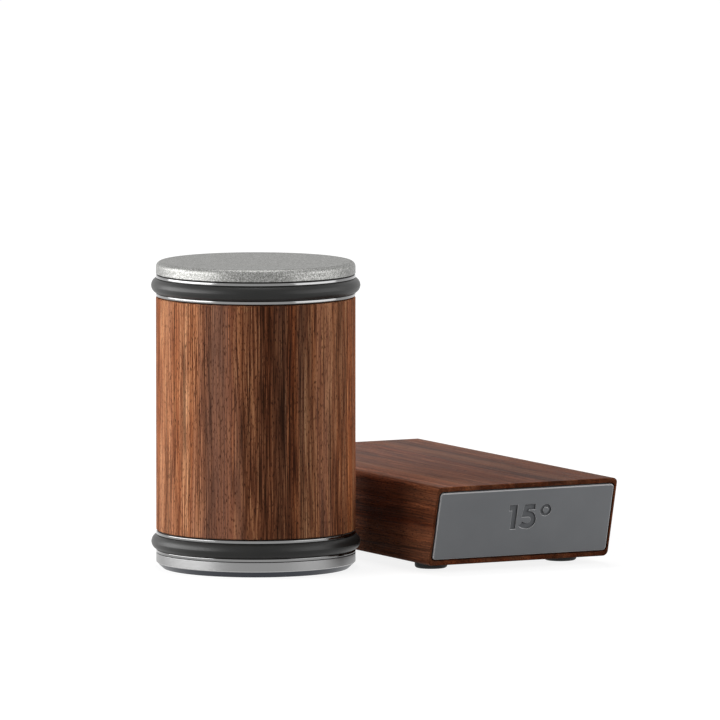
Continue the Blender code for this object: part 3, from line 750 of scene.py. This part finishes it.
def end_place(end):
    """Width, height, middle and turn of the blade pad in one of the block's slanted ends."""
    lean = front_lean if end == "front" else rear_lean
    width = block_width - 2 * pad_side_margin
    height = block_height / cos(lean) - pad_top_margin - pad_bottom_margin
    middle_height = block_low.z + (pad_bottom_margin + height / 2) * cos(lean)
    fall = (block_high.z - middle_height) * tan(lean)
    if end == "front":
        return width, height, (block_middle, block_front + fall, middle_height), (pi / 2 + lean, 0, 0)
    return width, height, (block_middle, block_rear - fall, middle_height), (pi / 2 + lean, 0, pi)


block = add_block("sawn_block", (block_width, block_rear - block_front, block_height),
                  (block_middle, (block_front + block_rear) / 2, (block_low.z + block_high.z) / 2))
for line, lean, way in ((block_front, front_lean, 1), (block_rear, rear_lean, -1)):
    pick_edges(block, lambda first, last: all(
        abs(point.y - line) < near and point.z < block_low.z + near for point in (first, last)))
    bpy.ops.transform.translate(value=(0, way * block_height * tan(lean), 0))
pick_edges(block, lambda first, last: abs(first.y - last.y) > block_width)
bpy.ops.mesh.bevel(offset=long_edge_round, segments=corner_steps, profile=0.5, affect="EDGES")
leave_edit_mode()


def on_end_face(point):
    """Whether a point lies on one of the slanted end planes."""
    fall = block_high.z - point.z
    front = block_front + fall * tan(front_lean)
    rear = block_rear - fall * tan(rear_lean)
    return min(abs(point.y - front), abs(point.y - rear)) < hair


def cut(piece, tool):
    """Take a tool's shape out of a piece, apply that, delete the tool and merge doubled points."""
    take_up(piece)
    boolean = piece.modifiers.new("cut", "BOOLEAN")
    boolean.operation = "DIFFERENCE"
    boolean.solver = "EXACT"
    boolean.object = tool
    bpy.ops.object.modifier_apply(modifier=boolean.name)
    bpy.data.objects.remove(tool, do_unlink=True)
    bpy.ops.object.mode_set(mode="EDIT")
    merge_points()
    leave_edit_mode()


pick_edges(block, lambda first, last: on_end_face(first) and on_end_face(last)
           and abs(first.y - last.y) < block_width)
bpy.ops.mesh.bevel(offset=end_rim_round, segments=4, profile=0.5, affect="EDGES")
for end in ("front", "rear"):
    width, height, middle, turn = end_place(end)
    recess = rounded_plate("recess", width + 2 * pad_gap, height + 2 * pad_gap, -pad_recess, overrun,
                           pad_corner + pad_gap)
    cut(block, settle(recess, middle, turn))
    floor_depth = pad_recess + magnet_thickness + gap
    for number in (-1, 0, 1):
        pocket = turned("pocket", [(0, -floor_depth), (magnet_radius + gap, -floor_depth),
                                   (magnet_radius + gap, overrun - pad_recess),
                                   (0, overrun - pad_recess)], inner_steps)
        settle(pocket, (number * magnet_spacing, 0, 0))
        cut(block, settle(pocket, middle, turn))
# The block is of a darker, quieter plank, with a faint sheen where it is seen at a low angle
block_walnut = oiled_walnut(
    "oiled_walnut_block", (pi / 2, 0, 0), (11, 43, 5),
    ((0.1, "42210F"), (0.32, "5C301B"), (0.5, "703D24"), (0.68, "844B2E"), (0.9, "9C6040")),
    "C8CACE", "FFDDBC", "85583F", Sheen_Weight=0.07, Sheen_Roughness=0.3)
shade(block, block_walnut)
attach(block, "guide")
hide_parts("guide_block")


# Magnets: three nickel-plated discs behind each pad hold the blade.  They are hidden, and are the CAD's own
# solids, dressed.  The plating has a warm bright shine.
nickel_plate = new_finish("nickel_plating", Metallic=1, Roughness=0.2)
flecked(nickel_plate, "C9C6BE", "D4D1CA", 2 * mm, 0.3 * mm, 0.1, 0.01 * mm)
for end in ("front", "rear"):
    dress(nickel_plate, *[f"{end}_magnet_{number}" for number in (1, 2, 3)])


# Blade pads: grey moulded silicone plates, glued into the end recesses.  The edge is coloured a lighter grey
# as a painted highlight, and the angle of each end is engraved in plain numerals, their chamfers with the
# same painted highlight and their rougher floor a darker grey as painted shade.
pad_proud = 0.3 * mm
pad_rim = 0.4 * mm
numeral_height = 7.3 * mm
stroke_width = 1.62 * mm
ring_radius = 1.32 * mm
ring_width = 0.82 * mm
ring_middle = 5.33 * mm
engraving_depth = 0.45 * mm
engraving_chamfer = 0.1 * mm
numeral_left = -5.2 * mm
numeral_base = -2.03 * mm
ring_aside = 11.75 * mm
# The faces with the painted highlight, on the rim and the numerals' chamfers, have cosines of lean between
# these
rim_steepest = 0.1
rim_flattest = 0.97

# Moulded silicone is matt with a faint haze; its edge and the numerals' chamfers are a lighter grey as a
# painted highlight, and its rougher engraved floor is a darker grey as painted shade
pad_silicone = new_finish("moulded_silicone", Roughness=0.5, IOR=1.43)
flecked(pad_silicone, "7F8184", "87898C", 16 * mm, 0.33 * mm, 0.15, 0.02 * mm)
# Painted highlight: the rim and the numerals' chamfers are coloured a lighter grey
pad_painted_highlight_silicone = new_finish("silicone_painted_highlight", Roughness=0.3, IOR=1.43)
flecked(pad_painted_highlight_silicone, "C4C4C5", "CCCCCD", 16 * mm, 0.33 * mm, 0.1, 0.02 * mm)
# Painted shade: the engraved floor is coloured darker than the plate
pad_painted_shade_silicone = new_finish("engraved_floor_painted_shade", Roughness=0.7, IOR=1.43)
flecked(pad_painted_shade_silicone, "6C6E71", "727477", 16 * mm, 0.33 * mm, 0.2, 0.02 * mm)


def stroke_outlines(path, width, closed):
    """The outlines of a stroke of that width along a path, mitred at its corners."""
    count = len(path)
    sides = ([], [])
    for number, (x, y) in enumerate(path):
        before = path[number - 1] if number or closed else None
        after = path[(number + 1) % count] if number < count - 1 or closed else None
        normals = []
        for first, last in ((before, (x, y)), ((x, y), after)):
            if first and last:
                length = hypot(last[0] - first[0], last[1] - first[1])
                normals.append(((first[1] - last[1]) / length, (last[0] - first[0]) / length))
        normal_x, normal_y = (sum(parts) for parts in zip(*normals))
        reach = (normal_x ** 2 + normal_y ** 2) / len(normals)
        for side, way in zip(sides, (1, -1)):
            side.append((x + way * width / 2 * normal_x / reach, y + way * width / 2 * normal_y / reach))
    return list(sides) if closed else [sides[0] + sides[1][::-1]]


def numeral(character):
    """Strokes of a plain upright numeral on the zero line: middle line, stroke width, closed or not.

    Places along the line count from the left edge of the first numeral, so "5" and "0" lie further on.
    """
    half = stroke_width / 2
    top = numeral_height - half
    if character == "1":
        stem = 1.9 * mm
        return [([(0, top), (stem, top), (stem, 0)], stroke_width, False)]
    if character == "5":
        bowl = 1.8 * mm
        turn = (6.35 * mm, half + bowl)
        waist = turn[1] + bowl
        flat = 3.3 * mm
        bend = arc(*turn, bowl, radians(90), radians(-90), 22)
        tail = arc(turn[0], half + flat, flat, radians(-90), radians(-131), 8)[1:]
        return [([(8.5 * mm, top), (5.6 * mm, top), (5.28 * mm, waist)] + bend + tail, stroke_width, False)]
    if character == "2":
        bowl = 1.6 * mm
        bend = arc(1.8 * mm, top - bowl, bowl, radians(165), radians(-40), 22)
        heel = half + 1.55 * mm
        return [(bend + [(0.75 * mm, heel), (0.75 * mm, half), (4.0 * mm, half)], stroke_width, False)]
    reach = 1.7 * mm
    rise = (numeral_height - stroke_width) / 2
    loop = [(7.1 * mm + reach * cos(step * pi / 24), half + rise + rise * sin(step * pi / 24))
            for step in range(48)]
    return [(loop, stroke_width, True)]


def engraving_tool(strokes):
    """A cutter for strokes on a pad: straight walls, with a chamfer where they meet the surface."""
    curve = bpy.data.curves.new("engraving", "CURVE")
    curve.dimensions = "2D"
    curve.fill_mode = "BOTH"
    for path, width, closed in strokes:
        for outline in stroke_outlines(path, width + 2 * engraving_chamfer, closed):
            spline = curve.splines.new("POLY")
            spline.points.add(len(outline) - 1)
            for point, (x, y) in zip(spline.points, outline):
                point.co = (x, y, 0, 1)
            spline.use_cyclic_u = True
    tool = bpy.data.objects.new("engraving", curve)
    bpy.context.scene.collection.objects.link(tool)
    take_up(tool)
    bpy.ops.object.convert(target="MESH")
    tool = bpy.context.object
    bpy.context.tool_settings.mesh_select_mode = (False, False, True)
    bpy.ops.object.mode_set(mode="EDIT")
    merge_points()
    bpy.ops.transform.translate(value=(0, 0, pad_proud + overrun))
    bpy.ops.mesh.extrude_region_move(TRANSFORM_OT_translate={"value": (0, 0, -overrun)})
    bpy.ops.mesh.inset(thickness=engraving_chamfer, depth=0, use_boundary=True, use_even_offset=True)
    bpy.ops.transform.translate(value=(0, 0, -engraving_chamfer))
    bpy.ops.mesh.extrude_region_move(TRANSFORM_OT_translate={
        "value": (0, 0, engraving_chamfer - engraving_depth)})
    bpy.ops.mesh.select_all(action="SELECT")
    bpy.ops.mesh.normals_make_consistent(inside=False)
    leave_edit_mode()
    return tool


for end, angle in (("front", "15"), ("rear", "20")):
    width, height, middle, turn = end_place(end)
    pad = rounded_plate(f"{end}_silicone_pad", width, height, gap - pad_recess, pad_proud, pad_corner)
    pick_edges(pad, lambda first, last: min(first.z, last.z) > pad_proud - hair)
    bpy.ops.mesh.bevel(offset=pad_rim, segments=5, profile=0.5, affect="EDGES")
    ring_place = (numeral_left + ring_aside, numeral_base + ring_middle)
    strokes = [(arc(*ring_place, ring_radius, 0, 2 * pi, 40)[:-1], ring_width, True)]
    for character in angle:
        for path, stroke, closed in numeral(character):
            strokes.append(([(numeral_left + x, numeral_base + y) for x, y in path], stroke, closed))
    cut(pad, engraving_tool(strokes))
    shade(pad, pad_silicone)
    # The rim and the numerals' chamfers take the painted highlight
    pick_finish(pad, pad_painted_highlight_silicone, lambda face: rim_steepest < face.normal.z < rim_flattest
                and face.center.z > pad_proud - pad_rim)
    # The engraved floor takes the painted shade
    pick_finish(pad, pad_painted_shade_silicone, lambda face: face.center.z < pad_proud - engraving_chamfer
                and max(abs(face.center.x) - width / 2, abs(face.center.y) - height / 2) < -pad_rim
                and face.center.z > pad_proud - engraving_depth - hair)
    settle(pad, middle, turn)
    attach(pad, "guide")
    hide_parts(f"blade_pad_{angle}")


# Feet: four moulded rubber buttons with rounded lower edges, one under each corner of the block.  Each is
# pressed into the block by a stem.
foot_radius = 4.6 * mm
foot_round = 0.8 * mm
foot_stem = 2 * mm
foot_steps = 48
# The rubber is black and dull, with a fine rough skin
foot_rubber = new_finish("foot_rubber", Roughness=0.6, IOR=1.52, Specular_IOR_Level=0.3)
flecked(foot_rubber, "0E0E0E", "151515", 3 * mm, 0.5 * mm, 0.3, 0.04 * mm)
for corner in ("front_left", "front_right", "rear_left", "rear_right"):
    low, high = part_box(f"foot_{corner}")
    top = block_low.z - gap
    outline = [(0, 0)] + arc(foot_radius - foot_round, foot_round, foot_round, -pi / 2, 0, 6)
    outline += [(foot_radius, top), (foot_stem, top), (foot_stem, high.z), (0, high.z)]
    foot = turned(f"{corner}_rubber_foot", outline, foot_steps)
    settle(foot, ((low.x + high.x) / 2, (low.y + high.y) / 2, 0))
    shade(foot, foot_rubber)
    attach(foot, "guide")
    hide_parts(f"foot_{corner}")


# Studio: a plain white floor that keeps the shadow, a white surround, a large soft lamp at either side and
# one overhead.  The surround is white to the eye and in reflections and lights the object only softly.
floor_size = 16
floor_drop = 0.02 * mm
floor_shade = 0.25
near_glow = 0.86
far_glow = 1.0
glow_start = 0.15
glow_full = 0.6
surround_light = 0.06
lamp_aim = Vector((20 * mm, 0, 40 * mm))

leave_edit_mode()
bpy.ops.mesh.primitive_plane_add(size=floor_size, location=(0, 0, -floor_drop))
floor = bpy.context.object
floor.name = "floor"
floor_white = new_finish("white_floor", Base_Color=(floor_shade, floor_shade, floor_shade, 1), Roughness=0.9,
                         Specular_IOR_Level=0, Emission_Color=(1, 1, 1, 1))


def in_sight(shader):
    """One for what is seen straight, in a reflection or through glass; nought for light on the object."""
    rays = add(shader, "ShaderNodeLightPath", {}).outputs
    seen = add(shader, "ShaderNodeMath", {0: rays["Is Camera Ray"], 1: rays["Is Glossy Ray"]},
               operation="MAXIMUM").outputs[0]
    return add(shader, "ShaderNodeMath", {0: seen, 1: rays["Is Transmission Ray"]},
               operation="MAXIMUM").outputs[0]


# To the eye the floor glows white.  About the object it glows a little less and the lamps' light adds the
# rest, so that the shadow shows.
spot = add(floor_white, "ShaderNodeTexCoord", {}).outputs["Object"]
away = add(floor_white, "ShaderNodeVectorMath", {0: spot}, operation="LENGTH").outputs["Value"]
glow = add(floor_white, "ShaderNodeMapRange", {"Value": away, "From Min": glow_start, "From Max": glow_full,
                                               "To Min": near_glow, "To Max": far_glow}).outputs[0]
glow = add(floor_white, "ShaderNodeMath", {0: in_sight(floor_white), 1: glow}, operation="MULTIPLY")
join(floor_white, glow.outputs["Value"], "Emission Strength")
floor.data.materials.append(floor_white)
floor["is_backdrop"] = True

surround = bpy.data.worlds.new("white_surround")
bpy.context.scene.world = surround
surround.use_nodes = True
backdrop = surround.node_tree.nodes["Background"]
backdrop.inputs["Color"].default_value = (1, 1, 1, 1)
level = add(surround, "ShaderNodeMapRange", {"Value": in_sight(surround), "To Min": surround_light})
surround.node_tree.links.new(level.outputs[0], backdrop.inputs["Strength"])


def soft_lamp(name, azimuth, elevation, distance, width, height, power):
    """A soft rectangular lamp, unseen itself, that looks at the object's middle from that side."""
    data = bpy.data.lights.new(name, "AREA")
    data.shape = "RECTANGLE"
    data.size = width
    data.size_y = height
    data.energy = power
    light = bpy.data.objects.new(name, data)
    bpy.context.scene.collection.objects.link(light)
    out = Vector((sin(azimuth) * cos(elevation), -cos(azimuth) * cos(elevation), sin(elevation)))
    light.location = lamp_aim + out * distance
    light.rotation_euler = out.to_track_quat("Z", "Y").to_euler()
    light.visible_camera = False


soft_lamp("left_lamp", radians(-112), radians(13), 0.8, 1.1, 0.5, 11)
soft_lamp("right_lamp", radians(46), radians(17), 0.42, 0.5, 0.32, 1.03)
soft_lamp("top_lamp", radians(153), radians(80), 1.0, 0.4, 0.4, 3.4)


# Camera: far off with a long lens, as the photograph shows hardly any perspective.  It looks past the
# roller's middle, so that the roller and the guide stand where they do in the photograph.
camera_azimuth = radians(-27.126)
camera_elevation = radians(5.955)
camera_distance = 4.039
picture_width = 720
lens_pixels = 14391
aside = 29.25 * mm
above = 15.29 * mm
middle = Vector((0, 0, 43 * mm))
back = Vector((sin(camera_azimuth) * cos(camera_elevation), -cos(camera_azimuth) * cos(camera_elevation),
               sin(camera_elevation)))
right = Vector((cos(camera_azimuth), sin(camera_azimuth), 0))
aim = middle + right * aside + back.cross(right) * above
camera_data = bpy.data.cameras.new("camera")
camera_data.sensor_width = 36
camera_data.lens = lens_pixels * camera_data.sensor_width / picture_width
camera_data.clip_end = 100
camera = bpy.data.objects.new("camera", camera_data)
bpy.context.scene.collection.objects.link(camera)
camera.location = middle + back * camera_distance
camera.rotation_euler = (aim - camera.location).to_track_quat("-Z", "Y").to_euler()
bpy.context.scene.camera = camera
bpy.context.scene.view_settings.view_transform = "Standard"


# The bounds of all that renders, the floor left out.
low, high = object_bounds()
